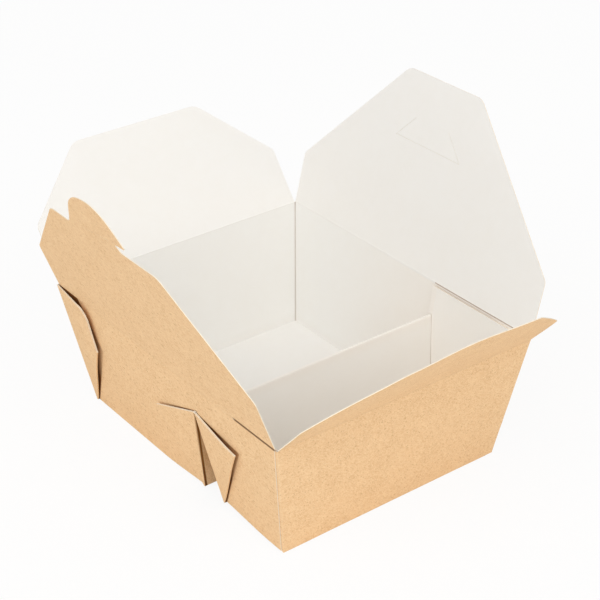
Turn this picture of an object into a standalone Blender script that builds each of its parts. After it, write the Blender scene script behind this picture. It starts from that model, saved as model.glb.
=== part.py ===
"""A folded paperboard takeaway box with two compartments, standing open with its four flaps up.

The tray is one sheet: two base panels joined by a raised pleat that divides the box, four sloping
walls, and eight webs that are folded in two and lie flat on the outside of the side walls.
Each flap is a panel of its own, because it swings about its crease.
The origin is at the middle of the underside, +X is to the right and the front is at -Y.
Lengths are in metres.
"""

import math

import bmesh
import bpy

# Board, and the gap left between two layers that are glued together
BOARD = 0.0004
LAYER_GAP = 0.00005

# Tray, measured on the middle of the board
BASE_WIDTH = 0.1182
BASE_LENGTH = 0.1500
WALL_HEIGHT = 0.0625
WIDTH_FLARE = 0.0096
LENGTH_FLARE = 0.0112

# Pleat between the compartments: how far forward of the middle its foot and its ridge stand
PLEAT_OFFSET = 0.0257
PLEAT_GAP = 0.0150
RIDGE_OFFSET = 0.0246
RIDGE_HEIGHT = 0.0475
RIDGE_WIDTH = 0.0009
RIDGE_CLEARANCE = 0.0006

# Tips of the folded webs, from the corner that each one starts at. A corner web's raw edge runs up
# from its tip to a rounded shoulder under the side wall's top.
CORNER_WEB_REACH = 0.0194
CORNER_WEB_HEIGHT = 0.0388
CORNER_WEB_SHOULDER_REACH = 0.0162
CORNER_WEB_TOP_DROP = 0.0006
CORNER_WEB_ROUNDING = 0.0080
PLEAT_BACK_WEB_REACH = 0.0254
PLEAT_BACK_WEB_HEIGHT = 0.0353
PLEAT_FRONT_WEB_REACH = 0.0228
PLEAT_FRONT_WEB_HEIGHT = 0.0430

# Glue panel that runs on from the large side panel and covers the small one
GLUE_PANEL_MARGIN = 0.0008
GLUE_PANEL_FOOT = 0.0009
INNER_WALL_LAP = 0.0025

# Creases of the flaps, below the top of the tray, and the cut edges beside them
END_CREASE_DROP = 0.0007
WALL_TOP_DROP = 0.00045
FLAP_ROOT = 0.0001

# Flap outlines, measured along the crease and up from it. A margin is how far a flap's side edge
# stands in from the corner of the tray's rim.
END_FLAP_MARGIN = 0.0007
END_FLAP_TOP_HALF_WIDTH = 0.0347
END_FLAP_ROUNDING = 0.0080
BACK_FLAP_SHOULDER = 0.0289
BACK_FLAP_LENGTH = 0.0622
FRONT_FLAP_SHOULDER = 0.0226
FRONT_FLAP_LENGTH = 0.0560
SIDE_FLAP_MARGIN = 0.0004
SIDE_FLAP_SHOULDER = 0.0260
SIDE_FLAP_ROUNDING = 0.0070
SHOULDER_ROUNDING = 0.0040
RIGHT_FLAP_TOP_HALF_WIDTH = 0.0245
LEFT_FLAP_TOP_HALF_WIDTH = 0.0430
LEFT_FLAP_LENGTH = 0.0700
LEFT_FLAP_BACK_DROP = 0.0035

# Lock tab on the left flap: a head with one barb, on a neck
LOCK_NECK_BACK = 0.0265
LOCK_NECK_FRONT = 0.0135
LOCK_HEAD_BACK = 0.0125
LOCK_HEAD_FRONT = 0.0115
LOCK_HEAD_HEIGHT = 0.0215
LOCK_HEAD_BACK_SHARE = 0.86
LOCK_BARB_REACH = 0.0092
LOCK_BARB_HEIGHT = 0.0042
LOCK_NOTCH = 0.0034
LOCK_NECK_ROUNDING = 0.0040
LOCK_HEAD_BACK_ROUNDING = 0.0250
LOCK_HEAD_FRONT_ROUNDING = 0.0160
LOCK_TIP_ROUNDING = 0.0007

# Slit in the right flap that takes the lock tab. With both side flaps laid flat, it lies this far
# past the left flap's free edge.
SLIT_SETBACK = 0.0110
SLIT_END_CLEARANCE = 0.0022
SLIT_END_HEIGHT = 0.0113
SLIT_END_SLANT = 0.0108
SLIT_OFFSET = 0.0020
SLIT_CUT = 0.0005
RIGHT_FLAP_PAST_SLIT = 0.0322

# How far each flap leans out from upright
BACK_FLAP_LEAN = math.radians(37)
FRONT_FLAP_LEAN = math.radians(43)
LEFT_FLAP_LEAN = math.radians(19)
RIGHT_FLAP_LEAN = math.radians(15)

ARC_STEPS = 6
ROUNDING_LIMIT_SHARE = 0.49
MERGE_SHARE = 0.1

KRAFT = (0.78, 0.53, 0.29, 1.0)
WHITE_LINED_KRAFT = (0.86, 0.82, 0.76, 1.0)
ROUGHNESS = 0.8

LAYER_PITCH = BOARD + LAYER_GAP
BASE_LEVEL = BOARD / 2
SIDE_CREASE = WALL_HEIGHT
END_CREASE = WALL_HEIGHT - END_CREASE_DROP
SIDE_WALL_TOP = SIDE_CREASE - WALL_TOP_DROP
END_WALL_TOP = END_CREASE - WALL_TOP_DROP
MERGE_DISTANCE = LAYER_GAP * MERGE_SHARE

# Sizes that follow from the tray's rim and from the lock tab
RIM_HALF_WIDTH = BASE_WIDTH / 2 + WIDTH_FLARE
RIM_HALF_LENGTH = BASE_LENGTH / 2 + LENGTH_FLARE
END_FLAP_HALF_WIDTH = RIM_HALF_WIDTH - END_FLAP_MARGIN
SIDE_FLAP_HALF_WIDTH = RIM_HALF_LENGTH - SIDE_FLAP_MARGIN
SLIT_HALF_WIDTH = (LOCK_NECK_BACK + LOCK_NECK_FRONT) / 2 + SLIT_END_CLEARANCE
SLIT_HEIGHT = 2 * RIM_HALF_WIDTH - LEFT_FLAP_LENGTH - SLIT_SETBACK
RIGHT_FLAP_LENGTH = SLIT_HEIGHT + RIGHT_FLAP_PAST_SLIT

# Layers of the side walls, counted outwards from the large side panel
LARGE_PANEL = 0
SMALL_PANEL = -3


def clear_scene():
    for item in list(bpy.data.objects):
        bpy.data.objects.remove(item)


def collection_named(name):
    collection = bpy.data.collections.new(name)
    bpy.context.scene.collection.children.link(collection)
    return collection


def board_material(name, colour):
    material = bpy.data.materials.new(name)
    material.use_nodes = True
    shader = material.node_tree.nodes["Principled BSDF"]
    shader.inputs["Base Color"].default_value = colour
    shader.inputs["Roughness"].default_value = ROUGHNESS
    shader.inputs["Metallic"].default_value = 0.0
    return material


def side_wall_x(z):
    """Distance of the large side panel from the middle plane, at height z."""
    return BASE_WIDTH / 2 + WIDTH_FLARE * z / WALL_HEIGHT


def end_wall_y(z):
    """Distance of the front and back walls from the middle plane, at height z."""
    return BASE_LENGTH / 2 + LENGTH_FLARE * z / WALL_HEIGHT


def pleat_wall_y(side, z):
    """Where the divider on this side of the pleat stands at height z: side is 1 behind, -1 in front."""
    rise = (z - BASE_LEVEL) / (RIDGE_HEIGHT - BASE_LEVEL)
    half_gap = PLEAT_GAP / 2 + (RIDGE_WIDTH - PLEAT_GAP) / 2 * rise
    centre = PLEAT_OFFSET + (RIDGE_OFFSET - PLEAT_OFFSET) * rise
    return side * half_gap - centre


class FoldedSheet:
    """The left half of the tray as flat panels between named fold corners, open at X = 0."""

    def __init__(self):
        self.corners = {}
        self.panels = []

    def on_side(self, name, layer, y, z):
        self.corners[name] = (-side_wall_x(z) - layer * LAYER_PITCH, y, z)

    def on_middle(self, name, y, z):
        self.corners[name] = (0.0, y, z)

    def panel(self, *names):
        self.panels.append(names)

    def web(self, name, wall_layer, web_layer, wall_y, inward, top, reach, height, shoulder=()):
        """A web between a side panel and the wall at wall_y(z), folded in two on the side panel.

        The sheet turns back at the side panel's edge, runs in to the crease, turns back again and
        runs out to the wall. Inward is the direction in Y from the wall along the side panel.
        The raw edge runs from the tip by the shoulder's points (reach, height) to the top corner.
        """
        outer_layer = web_layer + 1
        raw_edge = range(len(shoulder))
        for end, z in (("bottom", BASE_LEVEL), ("top", top)):
            turn = wall_y(z) + inward * LAYER_PITCH
            self.on_side(f"{name} panel {end}", wall_layer, turn, z)
            self.on_side(f"{name} inner {end}", web_layer, turn, z)
            self.on_side(f"{name} wall {end}", outer_layer, wall_y(z), z)
            self.on_middle(f"{name} middle {end}", wall_y(z), z)
        start = wall_y(BASE_LEVEL) + inward * LAYER_PITCH
        self.on_side(f"{name} outer bottom", outer_layer, start, BASE_LEVEL)
        tip_y = wall_y(BASE_LEVEL) + inward * reach
        self.on_side(f"{name} inner tip", web_layer, tip_y, height)
        self.on_side(f"{name} outer tip", outer_layer, tip_y, height)
        for index, (edge_reach, edge_height) in enumerate(shoulder):
            edge_y = wall_y(BASE_LEVEL) + inward * edge_reach
            self.on_side(f"{name} inner edge {index}", web_layer, edge_y, edge_height)
            self.on_side(f"{name} outer edge {index}", outer_layer, edge_y, edge_height)
        self.panel(f"{name} panel bottom", f"{name} panel top", f"{name} inner top", f"{name} inner bottom")
        self.panel(
            f"{name} inner bottom",
            f"{name} inner top",
            *(f"{name} inner edge {index}" for index in reversed(raw_edge)),
            f"{name} inner tip",
        )
        self.panel(f"{name} inner bottom", f"{name} inner tip", f"{name} outer tip", f"{name} outer bottom")
        self.panel(
            f"{name} outer bottom",
            f"{name} outer tip",
            *(f"{name} outer edge {index}" for index in raw_edge),
            f"{name} wall top",
            f"{name} wall bottom",
        )
        self.panel(f"{name} wall bottom", f"{name} middle bottom", f"{name} middle top", f"{name} wall top")

    def base(self, back, front):
        """The base panel between two walls, with the small steps where their webs start."""
        steps = ("panel", "inner", "outer", "wall", "middle")
        self.panel(
            *(f"{back} {step} bottom" for step in steps),
            *(f"{front} {step} bottom" for step in reversed(steps)),
        )

    def to_mesh(self, name):
        order = {corner: index for index, corner in enumerate(self.corners)}
        faces = [[order[corner] for corner in names] for names in self.panels]
        mesh = bpy.data.meshes.new(name)
        mesh.from_pydata(list(self.corners.values()), [], faces)
        shape = bmesh.new()
        shape.from_mesh(mesh)
        bmesh.ops.recalc_face_normals(shape, faces=shape.faces)
        shape.to_mesh(mesh)
        shape.free()
        return mesh


def corner_web_shoulder():
    """The raw edge of a corner web above its tip, as points (reach, height)."""
    top = END_WALL_TOP - CORNER_WEB_TOP_DROP
    outline = [
        (CORNER_WEB_REACH, CORNER_WEB_HEIGHT, 0),
        (CORNER_WEB_SHOULDER_REACH, top, CORNER_WEB_ROUNDING),
        (0, top, 0),
    ]
    return rounded(outline)[1:-1]


def add_webs(sheet):
    corner = {
        "reach": CORNER_WEB_REACH,
        "height": CORNER_WEB_HEIGHT,
        "shoulder": corner_web_shoulder(),
    }
    pleat_back = {"reach": PLEAT_BACK_WEB_REACH, "height": PLEAT_BACK_WEB_HEIGHT}
    pleat_front = {"reach": PLEAT_FRONT_WEB_REACH, "height": PLEAT_FRONT_WEB_HEIGHT}
    sheet.web("back", LARGE_PANEL, 1, end_wall_y, -1, END_WALL_TOP, **corner)
    sheet.web("pleat back", LARGE_PANEL, 1, lambda z: pleat_wall_y(1, z), 1, RIDGE_HEIGHT, **pleat_back)
    sheet.web("pleat front", SMALL_PANEL, 1, lambda z: pleat_wall_y(-1, z), -1, RIDGE_HEIGHT, **pleat_front)
    sheet.web("front", SMALL_PANEL, -2, lambda z: -end_wall_y(z), 1, END_WALL_TOP, **corner)
    sheet.panel(
        "pleat back wall top",
        "pleat back middle top",
        "pleat front middle top",
        "pleat front wall top",
    )


def add_large_side_panel(sheet):
    """The large compartment's side panel, with the glue panel that runs on over the small one."""
    over_ridge = RIDGE_HEIGHT + RIDGE_CLEARANCE
    under_ridge = RIDGE_HEIGHT - RIDGE_CLEARANCE
    back_turn = sheet.corners["pleat back panel top"][1]
    top_turn = end_wall_y(SIDE_WALL_TOP) - LAYER_PITCH
    sheet.on_side("panel top back", LARGE_PANEL, top_turn, SIDE_WALL_TOP)
    sheet.on_side("panel over ridge", LARGE_PANEL, back_turn, over_ridge)
    for name, z in (("top", SIDE_WALL_TOP), ("foot", GLUE_PANEL_FOOT)):
        sheet.on_side(f"glue panel {name} front", LARGE_PANEL, GLUE_PANEL_MARGIN - end_wall_y(z), z)
    for name, z in (("foot", GLUE_PANEL_FOOT), ("neck", under_ridge)):
        beside_turn = pleat_wall_y(-1, z) - 3 * LAYER_PITCH
        sheet.on_side(f"glue panel {name} back", LARGE_PANEL, beside_turn, z)
    sheet.on_side("glue panel over ridge", LARGE_PANEL, beside_turn, over_ridge)
    sheet.panel(
        "back panel bottom",
        "back panel top",
        "panel top back",
        "glue panel top front",
        "glue panel foot front",
        "glue panel foot back",
        "glue panel neck back",
        "glue panel over ridge",
        "panel over ridge",
        "pleat back panel top",
        "pleat back panel bottom",
    )


def add_small_side_panel(sheet):
    """The small compartment's side panel. Its raw edge laps a little past the ridge, inside the box.

    Its top stays under the front flap, so that the flap can fold in over it.
    """
    over_ridge = RIDGE_HEIGHT + RIDGE_CLEARANCE
    turn = sheet.corners["pleat front panel top"][1]
    lap = turn + INNER_WALL_LAP
    sheet.on_side("small panel over ridge", SMALL_PANEL, turn, over_ridge)
    sheet.on_side("small panel lap", SMALL_PANEL, lap, over_ridge)
    sheet.on_side("small panel top back", SMALL_PANEL, lap, END_WALL_TOP)
    sheet.panel(
        "pleat front panel bottom",
        "pleat front panel top",
        "small panel over ridge",
        "small panel lap",
        "small panel top back",
        "front panel top",
        "front panel bottom",
    )


def make_tray(collection):
    sheet = FoldedSheet()
    add_webs(sheet)
    sheet.base("back", "pleat back")
    sheet.base("pleat front", "front")
    add_large_side_panel(sheet)
    add_small_side_panel(sheet)
    tray = bpy.data.objects.new("tray", sheet.to_mesh("tray"))
    tray.data.materials.append(board_material("tray board", WHITE_LINED_KRAFT))
    collection.objects.link(tray)
    mirror = tray.modifiers.new("both halves", "MIRROR")
    mirror.merge_threshold = MERGE_DISTANCE
    solidify = tray.modifiers.new("board", "SOLIDIFY")
    solidify.solidify_mode = "NON_MANIFOLD"
    solidify.nonmanifold_thickness_mode = "CONSTRAINTS"
    solidify.nonmanifold_merge_threshold = MERGE_DISTANCE
    solidify.thickness = BOARD
    solidify.offset = 0


def rounded(outline):
    """The outline's corners (along, up, radius) as points, with each radius as an arc."""
    points = []
    for index, (x, y, radius) in enumerate(outline):
        before = outline[index - 1]
        after = outline[(index + 1) % len(outline)]
        if not radius:
            points.append((x, y))
            continue
        to_before = math.atan2(before[1] - y, before[0] - x)
        to_after = math.atan2(after[1] - y, after[0] - x)
        opening = (to_after - to_before + math.pi) % (2 * math.pi) - math.pi
        half = abs(opening) / 2
        shorter = min(math.dist((x, y), before[:2]), math.dist((x, y), after[:2])) * ROUNDING_LIMIT_SHARE
        tangent = min(radius / math.tan(half), shorter)
        fitted = tangent * math.tan(half)
        middle = to_before + opening / 2
        reach = tangent / math.cos(half)
        centre = (x + reach * math.cos(middle), y + reach * math.sin(middle))
        sweep = math.copysign(math.pi - abs(opening), -opening)
        start = to_before - math.copysign(math.pi / 2, opening)
        for step in range(ARC_STEPS + 1):
            angle = start + sweep * step / ARC_STEPS
            points.append((centre[0] + fitted * math.cos(angle), centre[1] + fitted * math.sin(angle)))
    return points


def hexagon(half_width, shoulder, top_half_width, length, rounding):
    """Corners of a flap that narrows from its shoulders to its free edge."""
    half = [
        (half_width, FLAP_ROOT, 0),
        (half_width, shoulder, SHOULDER_ROUNDING),
        (top_half_width, length, rounding),
    ]
    return half + [(-along, up, radius) for along, up, radius in reversed(half)]


def lock_tab(edge, back_drop):
    """Corners of the lock tab, from the back, on a free edge at this height that is lower behind the tab."""
    return [
        (LOCK_NECK_BACK, edge - back_drop, LOCK_NECK_ROUNDING),
        (LOCK_HEAD_BACK, edge + LOCK_HEAD_HEIGHT * LOCK_HEAD_BACK_SHARE, LOCK_HEAD_BACK_ROUNDING),
        (-LOCK_HEAD_FRONT, edge + LOCK_HEAD_HEIGHT, LOCK_HEAD_FRONT_ROUNDING),
        (-LOCK_NECK_FRONT - LOCK_BARB_REACH, edge + LOCK_BARB_HEIGHT, LOCK_TIP_ROUNDING),
        (-LOCK_NECK_FRONT, edge + LOCK_NOTCH, LOCK_TIP_ROUNDING),
        (-LOCK_NECK_FRONT - LOCK_NOTCH, edge, LOCK_TIP_ROUNDING),
    ]


def slit():
    """The lock slit as a thin closed loop: a straight run with both ends slanting up."""
    low, high = SLIT_HEIGHT, SLIT_HEIGHT + SLIT_END_HEIGHT
    inner = SLIT_HALF_WIDTH - SLIT_END_SLANT
    slant = math.atan2(SLIT_END_HEIGHT, SLIT_END_SLANT)
    shift = SLIT_CUT / math.tan(slant / 2)
    across = SLIT_CUT / math.sin(slant)
    half = [
        (inner, high),
        (SLIT_HALF_WIDTH, low),
        (SLIT_HALF_WIDTH - shift, low + SLIT_CUT),
        (inner - across, high),
    ]
    upper, lower = half[:2], half[2:]
    mirrored = [(-along, up) for along, up in reversed(upper)]
    inside = [(-along, up) for along, up in reversed(lower)]
    loop = upper + mirrored + inside + lower
    return [(along + SLIT_OFFSET, up) for along, up in loop]


def make_flap(collection, name, outline, place, tilt, turn, holes=()):
    """A flat panel whose origin is on its crease. Its X runs along the crease and its Y up the flap."""
    curve = bpy.data.curves.new(name, "CURVE")
    curve.dimensions = "2D"
    curve.fill_mode = "BOTH"
    curve.extrude = BOARD / 2
    for loop in (rounded(outline), *holes):
        spline = curve.splines.new("POLY")
        spline.points.add(len(loop) - 1)
        for point, (along, up) in zip(spline.points, loop):
            point.co = (along, up, 0.0, 1.0)
        spline.use_cyclic_u = True
    curve.materials.append(board_material(f"{name} board", KRAFT))
    flap = bpy.data.objects.new(name, curve)
    flap.location = place
    flap.rotation_euler = (tilt, 0.0, turn)
    collection.objects.link(flap)


def make_end_flaps(collection):
    back = hexagon(
        END_FLAP_HALF_WIDTH, BACK_FLAP_SHOULDER, END_FLAP_TOP_HALF_WIDTH, BACK_FLAP_LENGTH, END_FLAP_ROUNDING
    )
    front = hexagon(
        END_FLAP_HALF_WIDTH, FRONT_FLAP_SHOULDER, END_FLAP_TOP_HALF_WIDTH, FRONT_FLAP_LENGTH, END_FLAP_ROUNDING
    )
    crease_y = end_wall_y(END_CREASE)
    upright = math.pi / 2
    make_flap(collection, "back_flap", back, (0, crease_y, END_CREASE), upright - BACK_FLAP_LEAN, 0)
    make_flap(collection, "front_flap", front, (0, -crease_y, END_CREASE), upright + FRONT_FLAP_LEAN, 0)


def make_side_flaps(collection):
    crease_x = side_wall_x(SIDE_CREASE)
    upright = math.pi / 2
    along_y = math.pi / 2
    left = hexagon(
        SIDE_FLAP_HALF_WIDTH,
        SIDE_FLAP_SHOULDER,
        LEFT_FLAP_TOP_HALF_WIDTH,
        LEFT_FLAP_LENGTH,
        SIDE_FLAP_ROUNDING,
    )
    left[2] = (LEFT_FLAP_TOP_HALF_WIDTH, LEFT_FLAP_LENGTH - LEFT_FLAP_BACK_DROP, SIDE_FLAP_ROUNDING)
    left[3:3] = lock_tab(LEFT_FLAP_LENGTH, LEFT_FLAP_BACK_DROP)
    make_flap(
        collection, "left_flap", left, (-crease_x, 0, SIDE_CREASE), upright - LEFT_FLAP_LEAN, along_y
    )
    right = hexagon(
        SIDE_FLAP_HALF_WIDTH,
        SIDE_FLAP_SHOULDER,
        RIGHT_FLAP_TOP_HALF_WIDTH,
        RIGHT_FLAP_LENGTH,
        SIDE_FLAP_ROUNDING,
    )
    make_flap(
        collection,
        "right_flap",
        right,
        (crease_x, 0, SIDE_CREASE),
        upright + RIGHT_FLAP_LEAN,
        along_y,
        holes=(slit(),),
    )


def main():
    clear_scene()
    collection = collection_named("takeaway box")
    make_tray(collection)
    make_end_flaps(collection)
    make_side_flaps(collection)


main()
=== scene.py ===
import math

import bmesh
import bpy
import numpy as np
from mathutils import Matrix, Vector


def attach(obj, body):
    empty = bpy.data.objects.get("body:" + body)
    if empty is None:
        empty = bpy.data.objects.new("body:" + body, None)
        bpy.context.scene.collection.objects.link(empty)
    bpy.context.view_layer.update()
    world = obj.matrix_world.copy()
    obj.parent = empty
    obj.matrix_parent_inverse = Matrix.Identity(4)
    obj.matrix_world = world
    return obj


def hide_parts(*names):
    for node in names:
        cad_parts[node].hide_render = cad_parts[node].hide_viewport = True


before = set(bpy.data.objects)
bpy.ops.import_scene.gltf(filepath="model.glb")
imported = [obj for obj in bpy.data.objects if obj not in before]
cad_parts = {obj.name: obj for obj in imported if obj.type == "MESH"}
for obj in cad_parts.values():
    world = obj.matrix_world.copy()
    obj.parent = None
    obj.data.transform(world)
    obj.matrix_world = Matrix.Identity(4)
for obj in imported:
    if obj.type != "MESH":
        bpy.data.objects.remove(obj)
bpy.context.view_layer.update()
print("frame loaded:", sorted(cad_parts))

# the board that every piece is folded from, in metres
board = {
    "thickness": 0.0004,
    "layerGap": 0.00005,
    "gridStep": 0.007,
    "foldCuts": (0.0003, 0.0008, 0.0018),
    "edgeCuts": (0.0004, 0.0012),
    "flapEdgeCut": 0.0003,
    "snap": 0.00002,
    "weld": 0.000004,
    "same": 0.000001,
    "foldSoftness": 0.3,
    "longestNormal": 1.6,
    "shortestFold": 0.002,
    "farAway": 0.05,
    "arcSteps": 8,
    "sharpAngle": math.radians(52),
}
board["pitch"] = board["thickness"] + board["layerGap"]
board["softReach"] = 3 * board["foldCuts"][0]

# the tray: one sheet, folded into a base, four walls, a pleat and eight webs
tray = {
    "baseWidth": 0.1182,
    "baseLength": 0.1500,
    "wallHeight": 0.0625,
    "widthFlare": 0.0096,
    "lengthFlare": 0.0112,
    "pleatOffset": 0.0257,
    "pleatGap": 0.0150,
    "ridgeOffset": 0.0246,
    "ridgeHeight": 0.0475,
    "ridgeWidth": 0.0009,
    "ridgeClearance": 0.0006,
    "innerLayer": -3,
    "endCreaseDrop": 0.0007,
    "cornerWeb": (0.0194, 0.0388),
    "cornerShoulder": 0.0162,
    "cornerTopDrop": 0.0006,
    "cornerRounding": 0.0080,
    "pleatBackWeb": (0.0254, 0.0353),
    "pleatFrontWeb": (0.0228, 0.0430),
    "webTopDrop": 0.0005,
    "glueMargin": 0.0008,
    "glueFoot": 0.0009,
    "innerLap": 0.0025,
    "slitEnds": (-0.0567, -0.0850),
    "slitDrop": 0.0005,
    "slitRamp": 0.0006,
    "slitMargin": 0.002,
    "rightSlitDrop": 0.00015,
    "sideBow": 0.0006,
    "smallSideShare": 0.6,
    "endBow": 0.0007,
    "baseBow": 0.0004,
    "smallBaseShare": 0.5,
    "dividerBow": 0.0005,
    "endWallsFrom": 0.06,
    "backWebsFrom": 0.05,
    "liftBack": 0.0019,
    "liftPleatBack": 0.0009,
    "liftPleatFront": 0.0017,
    "liftLap": 0.0006,
    "lapReach": 0.016,
    "lapLiftFoot": (0.012, 0.036),
    "lapLiftHead": (0.050, 0.061),
    "pleatRise": 0.0021,
    "pleatRiseReach": (-0.004, 0.034),
    "pleatRiseHeight": 0.034,
}
tray["sideCrease"] = tray["wallHeight"]
tray["endCrease"] = tray["wallHeight"] - tray["endCreaseDrop"]
tray["baseLevel"] = board["thickness"] / 2
tray["middle"] = -tray["ridgeOffset"] - 0.001


def sideX(z):
    return tray["baseWidth"] / 2 + tray["widthFlare"] * z / tray["wallHeight"]


def endY(z):
    return tray["baseLength"] / 2 + tray["lengthFlare"] * z / tray["wallHeight"]


def pleatY(side, z):
    # the divider behind the pleat's gap (side 1) or in front of it (side -1), at height z
    rise = (z - tray["baseLevel"]) / (tray["ridgeHeight"] - tray["baseLevel"])
    halfGap = tray["pleatGap"] / 2 + (tray["ridgeWidth"] - tray["pleatGap"]) / 2 * rise
    return side * halfGap - tray["pleatOffset"] - (tray["ridgeOffset"] - tray["pleatOffset"]) * rise


# small helpers for objects and shapes

def placed(name, data):
    # a new object in the scene
    thing = bpy.data.objects.new(name, data)
    bpy.context.scene.collection.objects.link(thing)
    return thing


def meshOf(thing):
    # its mesh as evaluated
    return bpy.data.meshes.new_from_object(thing.evaluated_get(bpy.context.evaluated_depsgraph_get()))


def roundedOutline(corners):
    # corners are (along, up, radius), and each radius becomes an arc
    points = []
    for index, (x, y, radius) in enumerate(corners):
        before = corners[index - 1]
        after = corners[(index + 1) % len(corners)]
        if not radius:
            points.append((x, y))
            continue
        toBefore = math.atan2(before[1] - y, before[0] - x)
        toAfter = math.atan2(after[1] - y, after[0] - x)
        opening = (toAfter - toBefore + math.pi) % (2 * math.pi) - math.pi
        half = abs(opening) / 2
        shorter = 0.49 * min(math.dist((x, y), before[:2]), math.dist((x, y), after[:2]))
        tangent = min(radius / math.tan(half), shorter)
        fitted = tangent * math.tan(half)
        reach = tangent / math.cos(half)
        middle = toBefore + opening / 2
        centre = (x + reach * math.cos(middle), y + reach * math.sin(middle))
        sweep = math.copysign(math.pi - abs(opening), -opening)
        start = toBefore - math.copysign(math.pi / 2, opening)
        for step in range(board["arcSteps"] + 1):
            angle = start + sweep * step / board["arcSteps"]
            points.append((centre[0] + fitted * math.cos(angle), centre[1] + fitted * math.sin(angle)))
    return points


def ease(low, high, value):
    share = min(max((value - low) / (high - low), 0.0), 1.0)
    return share * share * (3 - 2 * share)


def distanceTo(place, pairs):
    # shortest distance from the place to any of these line segments
    if not pairs:
        return board["farAway"]
    starts, ends = (np.array(points) for points in zip(*pairs))
    alongs = ends - starts
    offset = place - starts
    share = np.clip((offset * alongs).sum(1) / np.maximum((alongs * alongs).sum(1), 1e-12), 0, 1)
    gap = offset - share[:, None] * alongs
    return math.sqrt((gap * gap).sum(1).min())


def evenNormals(shape, panelOf):
    # a vector at each point that keeps the board's thickness on both sides of a fold
    result = []
    for point in shape.verts:
        sums = {}
        for face in point.link_faces:
            key = panelOf(face)
            sums[key] = sums.get(key, Vector()) + face.normal * face.calc_area()
        rows = [total.normalized() for total in sums.values() if total.length > 1e-12]
        if not rows:
            direction = Vector((0, 0, 1))
        elif len(rows) == 1:
            direction = rows[0]
        else:
            direction = Vector(np.linalg.lstsq(np.array(rows), np.ones(len(rows)), rcond=0.15)[0])
            direction *= min(1.0, board["longestNormal"] / direction.length)
        result.append(direction)
    return result


# small helpers for nodes

def feed(tree, node, inputs):
    # sockets by name or number, each with a link or a plain value
    for key, value in inputs.items():
        if isinstance(value, bpy.types.NodeSocket):
            tree.links.new(value, node.inputs[key])
        else:
            node.inputs[key].default_value = value
    return node


def addNode(tree, kind, inputs=None, **settings):
    node = tree.nodes.new(kind)
    for key, value in settings.items():
        setattr(node, key, value)
    return feed(tree, node, inputs or {})


def newGroup(name, inputs, outputs, treeKind="ShaderNodeTree", outputKind="Float"):
    # a node group with its sockets: its tree, what comes in and what goes out
    tree = bpy.data.node_groups.new(name, treeKind)
    for label, kind, value in inputs:
        socket = tree.interface.new_socket(name=label, in_out="INPUT", socket_type="NodeSocket" + kind)
        if value is not None:
            socket.default_value = value
    for label in outputs:
        tree.interface.new_socket(name=label, in_out="OUTPUT", socket_type="NodeSocket" + outputKind)
    return tree, addNode(tree, "NodeGroupInput").outputs, addNode(tree, "NodeGroupOutput")


def mathNode(tree, operation, *values, clamp=False):
    inputs = dict(enumerate(values))
    return addNode(tree, "ShaderNodeMath", inputs, operation=operation, use_clamp=clamp).outputs[0]


def product(tree, first, *others):
    for other in others:
        first = mathNode(tree, "MULTIPLY", first, other)
    return first


def ramp(tree, value, start, end, low=0.0, high=1.0):
    # low at the start and before it, high at the end and past it
    inputs = {"Value": value, "From Min": start, "From Max": end, "To Min": low, "To Max": high}
    return addNode(tree, "ShaderNodeMapRange", inputs, clamp=True).outputs["Result"]


def noiseNode(tree, vector, scale, detail, roughness, distortion=0.0):
    inputs = {"Vector": vector, "Scale": scale, "Detail": detail}
    inputs.update({"Roughness": roughness, "Distortion": distortion})
    return addNode(tree, "ShaderNodeTexNoise", inputs).outputs[0]


def stretched(tree, vector, turn, scale):
    inputs = {"Vector": vector, "Rotation": turn, "Scale": scale}
    return addNode(tree, "ShaderNodeMapping", inputs, vector_type="TEXTURE").outputs[0]


def blended(tree, first, second, share):
    return mathNode(tree, "ADD", product(tree, first, share), product(tree, second, 1 - share))


# shader node groups

# paper pulp: how its fibres lie, and how its flecks and clouds are spread
pulp = {
    "strands": (
        ((0.3, 0.9, 0.2), (1, 2.6, 1)),
        ((1.2, -0.4, 1.1), (2.6, 1, 1)),
        ((-0.7, 0.5, 2.2), (1, 1, 2.6)),
    ),
    "strandNoise": (2.0, 0.55, 1.4),
    "third": 0.3333,
    "fineScale": 2.6,
    "fineNoise": (3.0, 0.6),
    "broadNoise": (3.0, 0.55),
    "fibreShare": 0.6,
    "fleckTurn": (0.5, 0.8, 0.4),
    "fleckStretch": (1, 2.4, 1),
    "fleckSize": (0.42, 0.15),
    "fleckChoice": (0.66, 0.95),
    "narrowScale": 5.0,
    "broadShare": 0.55,
    "roughnessRange": (0.35, 0.65),
}


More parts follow.
